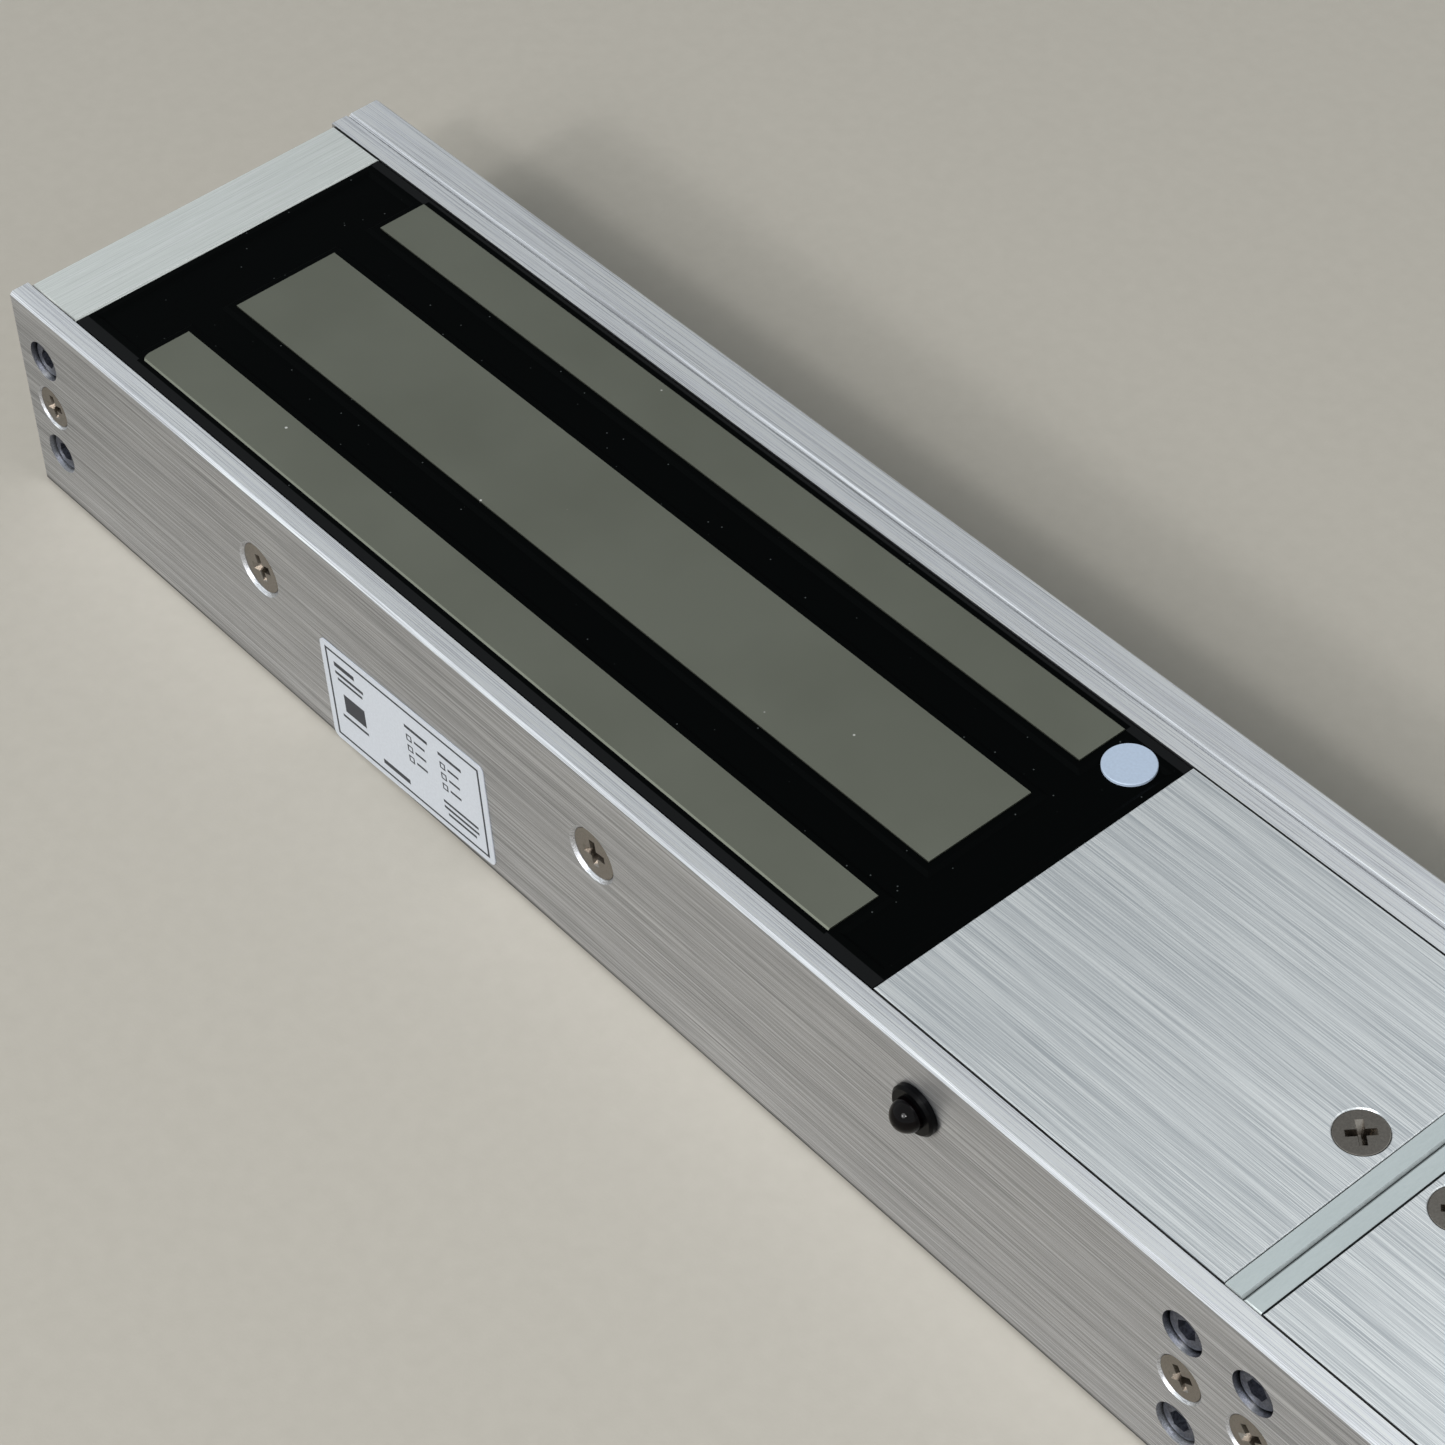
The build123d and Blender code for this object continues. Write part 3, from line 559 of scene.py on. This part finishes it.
potting_epoxy = new_material("black_cast_epoxy")
place = add(potting_epoxy, "ShaderNodeTexCoord").outputs["Object"]
specks = add(
    potting_epoxy,
    "ShaderNodeTexVoronoi",
    {"Vector": place, "Scale": 1 / speck_spacing, "Randomness": 1.0},
)
speck_mask = add(potting_epoxy, "ShaderNodeValToRGB", {"Fac": specks.outputs["Distance"]})
set_stops(speck_mask, (0.03, linear("#4a4e4e")), (0.06, linear("#020303")))
waves = add(
    potting_epoxy,
    "ShaderNodeTexNoise",
    {"Vector": place, "Scale": 1 / pour_wave_length, "Detail": 2.0},
)
potting_bump = add(
    potting_epoxy,
    "ShaderNodeBump",
    {"Height": waves.outputs["Fac"], "Strength": 0.4, "Distance": 0.05 * mm},
)
add(
    potting_epoxy,
    "ShaderNodeBsdfPrincipled",
    {
        "Base Color": speck_mask.outputs["Color"],
        "Roughness": 0.5,
        "IOR": 1.5,
        "Specular IOR Level": 0.02,
        "Normal": potting_bump.outputs["Normal"],
    },
)
dress(both("potting"), potting_epoxy)


# Potting trays: troughs moulded in black nylon, with the fine bloom that such parts have.
# Only their rims show, as a narrow dark band beside the walls. The grain of all the plastics is
# drawn coarser than it is, at 0.4 mm.
def moulded_plastic(name, colour, roughness, gloss=0.5, grain_size=0.4 * mm, depth=0.01 * mm):
    """A moulded plastic with a fine grain in its surface and in its colour."""
    made = new_material(name)
    place = add(made, "ShaderNodeTexCoord").outputs["Object"]
    grain = add(
        made, "ShaderNodeTexNoise", {"Vector": place, "Scale": 1 / grain_size, "Detail": 3.0}
    )
    value = add(
        made,
        "ShaderNodeMapRange",
        {"Value": grain.outputs["Fac"], "To Min": 0.88, "To Max": 1.12},
    )
    shade = add(
        made,
        "ShaderNodeHueSaturation",
        {"Color": linear(colour), "Value": value.outputs["Result"]},
    )
    bump = add(
        made,
        "ShaderNodeBump",
        {"Height": grain.outputs["Fac"], "Strength": 0.4, "Distance": depth},
    )
    add(
        made,
        "ShaderNodeBsdfPrincipled",
        {
            "Base Color": shade.outputs["Color"],
            "Roughness": roughness,
            "IOR": 1.5,
            "Specular IOR Level": gloss,
            "Normal": bump.outputs["Normal"],
        },
    )
    return made


dress(both("potting_tray"), moulded_plastic("black_moulded_nylon", "#090a0b", 0.6, gloss=0.12))

# Coils: a natural nylon bobbin on the middle pole, wound with enamelled copper wire.
# Both lie under the potting, in the colours that they have when the coil is wound.
dress(both("coil_bobbin"), moulded_plastic("natural_moulded_nylon", "#d8d2bc", 0.5))
dress(both("coil_winding"), moulded_plastic("enamelled_copper_wire", "#8a4a22", 0.3))

# Bond sensors: capsules of pale ABS whose flat caps show as bluish white discs.
# The cap is moulded smooth, so it looks even and matt.
dress(both("bond_sensor"), moulded_plastic("pale_moulded_abs", "#b3c2d6", 0.5))

# Indicator lamps: smoked red epoxy domes, each in a black moulded bezel that clips into the wall.
# The unlit lens looks black and glossy, with a trace of red where light goes through its side.
lens_epoxy = moulded_plastic(
    "smoked_red_cast_epoxy", "#030102", 0.04, gloss=0.12, grain_size=1.5 * mm, depth=0.002 * mm
)
dress(both("lamp"), lens_epoxy)
dress(both("lamp_bezel"), moulded_plastic("black_moulded_abs", "#040405", 0.25, gloss=0.06))

# Circuit boards: glass epoxy laminate with a green mask, in two grooved nylon rails.
# They lie under the covers and show only where the wiring space is open.
dress(both("circuit_board"), moulded_plastic("green_masked_laminate", "#1f6b42", 0.4))
dress(both("board_rails"), moulded_plastic("natural_moulded_nylon_rail", "#d8d2bc", 0.5))

# Pieces on the boards: each moulded or dipped in the colour that such a component has.
# They are finished plainly, because no picture shows them.
dress(both("terminal_block"), moulded_plastic("green_moulded_polyamide", "#2f7d4c", 0.45))
dress(both("relay"), moulded_plastic("black_moulded_polyester", "#141516", 0.4))
dress(both("surge_suppressor"), moulded_plastic("blue_dipped_epoxy", "#27489a", 0.3))
dress(both("voltage_jumper"), moulded_plastic("black_moulded_header", "#131313", 0.45))
dress(both("lead_headers"), moulded_plastic("white_moulded_header", "#dcd9cc", 0.5))

# Leads: flat two-core leads with soft vinyl insulation, from the coil, the sensor and the lamp.
# The vinyl is red for the lamp and the coil and pale grey for the sensor.
red_vinyl = moulded_plastic("red_extruded_vinyl", "#9a2420", 0.4)
dress(both("coil_leads") + both("lamp_leads"), red_vinyl)
dress(both("sensor_leads"), moulded_plastic("grey_extruded_vinyl", "#8f9296", 0.4))

# Cable bushes: soft black rubber, pushed into the far wall from the plate's side.
# The rubber is dull and soaks up the light.
dress(both("cable_grommet"), moulded_plastic("black_moulded_rubber", "#121212", 0.75))


# Screws: cold-headed steel with a cross recess and a rolled thread, nickel plated.
# The plating gives the eye a warm grey face and bright glints on the walls of the recess.
# Its grain is drawn coarser than it is, at 0.25 mm, as is that of the bolts, at 0.35 mm.
def lathe(profile, steps):
    """A closed mesh turned about Z from a profile of pairs, a radius and a height."""
    made = bmesh.new()
    rings = []
    for radius, height in profile:
        if radius == 0:
            rings.append([made.verts.new((0, 0, height))])
            continue
        turns = [2 * math.pi * step / steps for step in range(steps)]
        rings.append(
            [made.verts.new((radius * math.cos(t), radius * math.sin(t), height)) for t in turns]
        )
    for upper, lower in zip(rings, rings[1:]):
        for step in range(steps):
            after = (step + 1) % steps
            corners = [upper[step % len(upper)], lower[step % len(lower)]]
            if len(lower) > 1:
                corners.append(lower[after])
            if len(upper) > 1:
                corners.append(upper[after])
            made.faces.new(corners)
    bmesh.ops.recalc_face_normals(made, faces=made.faces)
    return made


def as_object(name, made):
    """An object in the scene from a bmesh, which it frees."""
    mesh = bpy.data.meshes.new(name)
    made.to_mesh(mesh)
    made.free()
    thing = bpy.data.objects.new(name, mesh)
    bpy.context.scene.collection.objects.link(thing)
    return thing


def cut(thing, cutters):
    """Cuts each of the cutters out of the object, and deletes the cutters."""
    for cutter in cutters:
        modifier = thing.modifiers.new("cut", "BOOLEAN")
        modifier.operation = "DIFFERENCE"
        modifier.solver = "EXACT"
        modifier.object = cutter
    bpy.context.view_layer.update()
    cut_mesh = bpy.data.meshes.new_from_object(
        thing.evaluated_get(bpy.context.evaluated_depsgraph_get())
    )
    thing.modifiers.clear()
    thing.data = cut_mesh
    for cutter in cutters:
        bpy.data.objects.remove(cutter)


def tapered_prism(outline, top, bottom, shrink):
    """A bmesh between two heights. Its lower outline is the upper one times the pair shrink."""
    made = bmesh.new()
    upper = [made.verts.new((x, y, top)) for x, y in outline]
    lower = [made.verts.new((x * shrink[0], y * shrink[1], bottom)) for x, y in outline]
    made.faces.new(upper)
    made.faces.new(list(reversed(lower)))
    for i in range(len(outline)):
        after = (i + 1) % len(outline)
        made.faces.new((upper[i], lower[i], lower[after], upper[after]))
    bmesh.ops.recalc_face_normals(made, faces=made.faces)
    return made


def threaded_shank(radius, top, bottom, pitch, ridge):
    """The profile of a threaded shank, from under the head to its blunt tip."""
    points = [(radius, top)]
    height = top - pitch
    while height - pitch > bottom:
        points += [
            (radius, height),
            (radius - ridge, height - pitch / 2),
            (radius, height - pitch),
        ]
        height -= pitch
    return points + [(radius, bottom + ridge), (radius - ridge, bottom), (0, bottom)]


turning_steps = 48
rim_round = 0.09 * mm
thread_depth = 0.3 * mm
cutter_rise = 0.02 * mm
recess_taper = (0.45, 0.3)


def cross_screw(name, radius, head_radius, length, pitch, recess_reach, recess_width, depth):
    """A countersunk screw with a cross recess, pointing down from its head at the origin."""
    profile = [
        (0, 0),
        (head_radius - 2 * rim_round, 0),
        (head_radius - rim_round, -0.2 * rim_round),
        (head_radius - rim_round, -rim_round),
    ]
    profile += threaded_shank(radius, radius - head_radius, -length, pitch, thread_depth)
    screw = as_object(name, lathe(profile, turning_steps))
    x = recess_reach
    y = recess_width / 2
    arm = [(x, y), (-x, y), (-x, -y), (x, -y)]
    turned_arm = [(y, -x), (y, x), (-y, x), (-y, -x)]
    cutters = [
        as_object("recess_arm", tapered_prism(arm, cutter_rise, -depth, recess_taper)),
        as_object(
            "recess_arm_across",
            tapered_prism(turned_arm, cutter_rise, -depth, recess_taper[::-1]),
        ),
    ]
    cut(screw, cutters)
    return screw


def place_copies(name, original, places, node, material):
    """One object of copies of a screw or bolt, at matrices, that stands for a node."""
    made = bmesh.new()
    for place in places:
        start = len(made.verts)
        made.from_mesh(original.data)
        made.verts.ensure_lookup_table()
        bmesh.ops.transform(made, matrix=place, verts=made.verts[start:])
    bpy.data.objects.remove(original)
    group = as_object(name, made)
    group.data.materials.clear()
    group.data.materials.append(material)
    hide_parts(node)
    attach(group, "root")
    return group


near_face = -36.6 * mm
housing_depth = 39.7 * mm
out_of_near_wall = Matrix.Rotation(math.radians(90), 4, "X")

nickel_plating = new_material("nickel_plated_steel")
place = add(nickel_plating, "ShaderNodeTexCoord").outputs["Object"]
plating_grain_size = 0.25 * mm
plating_grain = add(
    nickel_plating,
    "ShaderNodeTexNoise",
    {"Vector": place, "Scale": 1 / plating_grain_size, "Detail": 3.0},
)
plating_colour = add(nickel_plating, "ShaderNodeValToRGB", {"Fac": plating_grain.outputs["Fac"]})
set_stops(plating_colour, (0.3, linear("#7e7872")), (0.7, linear("#8e8881")))
plating_bump = add(
    nickel_plating,
    "ShaderNodeBump",
    {"Height": plating_grain.outputs["Fac"], "Strength": 0.5, "Distance": 0.006 * mm},
)
add(
    nickel_plating,
    "ShaderNodeBsdfPrincipled",
    {
        "Base Color": plating_colour.outputs["Color"],
        "Metallic": 1.0,
        "Roughness": 0.24,
        "Normal": plating_bump.outputs["Normal"],
    },
)

small_screw = {
    "radius": 2.0 * mm,
    "head_radius": 3.65 * mm,
    "pitch": 0.7 * mm,
    "recess_reach": 2.15 * mm,
    "recess_width": 1.15 * mm,
    "depth": 1.7 * mm,
}
small_head_sink = 0.3 * mm

# Block screws: one through the near wall into each of the four blocks. Here and below, each
# place along the lock has the angle in degrees at which its screw stopped turning.
block_screw_places = {-259.85: 12, -6.1: 30, 6.1: 38, 259.85: 65}
block_screw_height = 19.85 * mm
place_copies(
    "block_screws_cross_recess",
    cross_screw("block_screw", length=10.0 * mm, **small_screw),
    [
        Matrix.Translation((x * mm, near_face + small_head_sink, block_screw_height))
        @ out_of_near_wall
        @ Matrix.Rotation(math.radians(spin), 4, "Z")
        for x, spin in block_screw_places.items()
    ],
    "block_screws",
    nickel_plating,
)

# Magnet screws: two larger ones through the near wall into each magnet core
magnet_screw_places = {-203.0: 18, -123.1: 8, 123.1: 50, 203.0: 33}
magnet_screw_height = 23.8 * mm
magnet_head_sink = 0.45 * mm
place_copies(
    "magnet_screws_cross_recess",
    cross_screw(
        "magnet_screw",
        radius=2.5 * mm,
        head_radius=4.4 * mm,
        length=12.0 * mm,
        pitch=0.8 * mm,
        recess_reach=2.4 * mm,
        recess_width=1.3 * mm,
        depth=1.9 * mm,
    ),
    [
        Matrix.Translation((x * mm, near_face + magnet_head_sink, magnet_screw_height))
        @ out_of_near_wall
        @ Matrix.Rotation(math.radians(spin), 4, "Z")
        for x, spin in magnet_screw_places.items()
    ],
    "magnet_screws",
    nickel_plating,
)

# Cover screws: one through the inner end of each cover into its centre block
cover_screw_places = {-8.2: 51.5, 8.2: 44}
channel_middle = -3.1 * mm
cover_screw = {**small_screw, "head_radius": 3.85 * mm}
cover_head_sink = 0.1 * mm
place_copies(
    "cover_screws_cross_recess",
    cross_screw("cover_screw", length=6.0 * mm, **cover_screw),
    [
        Matrix.Translation((x * mm, channel_middle, housing_depth - cover_head_sink))
        @ Matrix.Rotation(math.radians(spin), 4, "Z")
        for x, spin in cover_screw_places.items()
    ],
    "cover_screws",
    nickel_plating,
)

# Mounting bolts: socket-head bolts of hardened steel, phosphated slate grey, through the whole
# lock. Their heads lie just under the near wall's surface, and the socket shows as a dark hexagon.
# They stand above and below the block screws, each stopped at a turn of its own.
bolt_radius = 2.0 * mm
bolt_head_radius = 3.35 * mm
bolt_head_height = 4.0 * mm
bolt_recess = 0.8 * mm
bolt_length = 68.2 * mm
bolt_edge_round = 0.45 * mm
bolt_pitch = 0.7 * mm
bolt_thread_length = 8.0 * mm
socket_radius = 1.73 * mm
socket_depth = 2.0 * mm
bolt_rise = 9.8

bolt_phosphate = new_material("phosphated_steel")
place = add(bolt_phosphate, "ShaderNodeTexCoord").outputs["Object"]
phosphate_grain_size = 0.35 * mm
phosphate_grain = add(
    bolt_phosphate,
    "ShaderNodeTexNoise",
    {"Vector": place, "Scale": 1 / phosphate_grain_size, "Detail": 4.0},
)
phosphate_colour = add(
    bolt_phosphate, "ShaderNodeValToRGB", {"Fac": phosphate_grain.outputs["Fac"]}
)
set_stops(phosphate_colour, (0.3, linear("#363841")), (0.7, linear("#5f626e")))
phosphate_bump = add(
    bolt_phosphate,
    "ShaderNodeBump",
    {"Height": phosphate_grain.outputs["Fac"], "Strength": 0.8, "Distance": 0.03 * mm},
)
add(
    bolt_phosphate,
    "ShaderNodeBsdfPrincipled",
    {
        "Base Color": phosphate_colour.outputs["Color"],
        "Metallic": 0.8,
        "Roughness": 0.42,
        "Normal": phosphate_bump.outputs["Normal"],
    },
)

bolt_profile = [
    (0, 0),
    (bolt_head_radius - 1.6 * bolt_edge_round, 0),
    (bolt_head_radius - 0.7 * bolt_edge_round, -0.2 * bolt_edge_round),
    (bolt_head_radius - 0.2 * bolt_edge_round, -0.7 * bolt_edge_round),
    (bolt_head_radius, -1.6 * bolt_edge_round),
    (bolt_head_radius, -bolt_head_height),
    (bolt_radius, -bolt_head_height),
]
bolt_profile += threaded_shank(
    bolt_radius,
    -bolt_head_height - bolt_length + bolt_thread_length,
    -bolt_head_height - bolt_length,
    bolt_pitch,
    thread_depth,
)
bolt = as_object("bolt", lathe(bolt_profile, turning_steps))
hexagon_turns = [math.radians(60 * i) for i in range(6)]
hexagon = [(socket_radius * math.cos(t), socket_radius * math.sin(t)) for t in hexagon_turns]
cut(
    bolt,
    [as_object("socket", tapered_prism(hexagon, cutter_rise, -socket_depth, (1.0, 1.0)))],
)
place_copies(
    "mounting_bolts_socket_head",
    bolt,
    [
        Matrix.Translation((x * mm, near_face + bolt_recess, block_screw_height + rise * mm))
        @ out_of_near_wall
        @ Matrix.Rotation(math.radians(7 * x + 2 * rise), 4, "Z")
        for x in block_screw_places
        for rise in (-bolt_rise, bolt_rise)
    ],
    "mounting_bolts",
    bolt_phosphate,
)

# Label: white polyester film with a printed border, a few plain bars and a grid of empty boxes.
# The print is only a pattern, and says nothing. The film gives the eye a cool white with a soft
# sheen. The sizes of the print are in millimetres, from the middle of the label.
label_thickness = 0.15 * mm
label_centre = Vector((-167.7 * mm, near_face - label_thickness, 11.2 * mm))
label_tilt = math.radians(2.3)
label_along = Vector((math.cos(label_tilt), 0, math.sin(label_tilt)))
label_up = Vector((-math.sin(label_tilt), 0, math.cos(label_tilt)))
ink_height = 0.02 * mm
border_size = (37.6, 18.3)
border_line = 0.42
ink_bars = [
    (-14.4, 6.6, 5.0, 0.9),
    (-13.4, 4.9, 7.0, 0.6),
    (-13.4, 3.7, 6.2, 0.5),
    (-13.0, -0.8, 5.2, 3.6),
    (-13.4, -3.9, 6.4, 0.5),
    (-3.6, -6.9, 6.6, 0.9),
    (3.2, 5.6, 5.6, 0.6),
    (11.4, 5.6, 5.6, 0.6),
    (12.6, -4.4, 8.4, 0.5),
    (12.6, -5.6, 8.4, 0.5),
    (12.6, -6.8, 6.8, 0.5),
]
box_size = 1.3
box_line = 0.25
box_columns = (1.2, 9.4)
box_rows = (3.4, 1.2, -1.0)
box_bar = (2.6, 0.45)
box_bar_gap = 0.6

dress([cad["label_sheet"]], moulded_plastic("white_printed_polyester", "#c3c8d0", 0.4))
ink = bmesh.new()


def ink_rectangle(x, z, width, height):
    """Adds a flat printed bar on the label, given in millimetres from its middle."""
    corners = [(-width, -height), (width, -height), (width, height), (-width, height)]
    sides = []
    for rise in (0.0, ink_height):
        ring = []
        for dx, dz in corners:
            point = label_centre + label_along * (x + dx / 2) * mm
            point += label_up * (z + dz / 2) * mm
            ring.append(ink.verts.new(point + Vector((0, -rise, 0))))
        sides.append(ring)
    under, over = sides
    ink.faces.new(over)
    ink.faces.new(list(reversed(under)))
    for i in range(4):
        after = (i + 1) % 4
        ink.faces.new((under[i], under[after], over[after], over[i]))


def ink_frame(x, z, width, height, line):
    """Adds four bars round an empty box."""
    for side in (-1, 1):
        ink_rectangle(x, z + side * (height - line) / 2, width, line)
        ink_rectangle(x + side * (width - line) / 2, z, line, height - 2 * line)


ink_frame(0, 0, *border_size, border_line)
for bar in ink_bars:
    ink_rectangle(*bar)
for column in box_columns:
    for row in box_rows:
        ink_frame(column, row, box_size, box_size, box_line)
        bar_middle = column + box_size / 2 + box_bar_gap + box_bar[0] / 2
        ink_rectangle(bar_middle, row, *box_bar)
bmesh.ops.recalc_face_normals(ink, faces=ink.faces)
label_print = as_object("label_print", ink)
label_print.data.materials.append(moulded_plastic("dark_printing_ink", "#282b33", 0.5))
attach(label_print, "root")
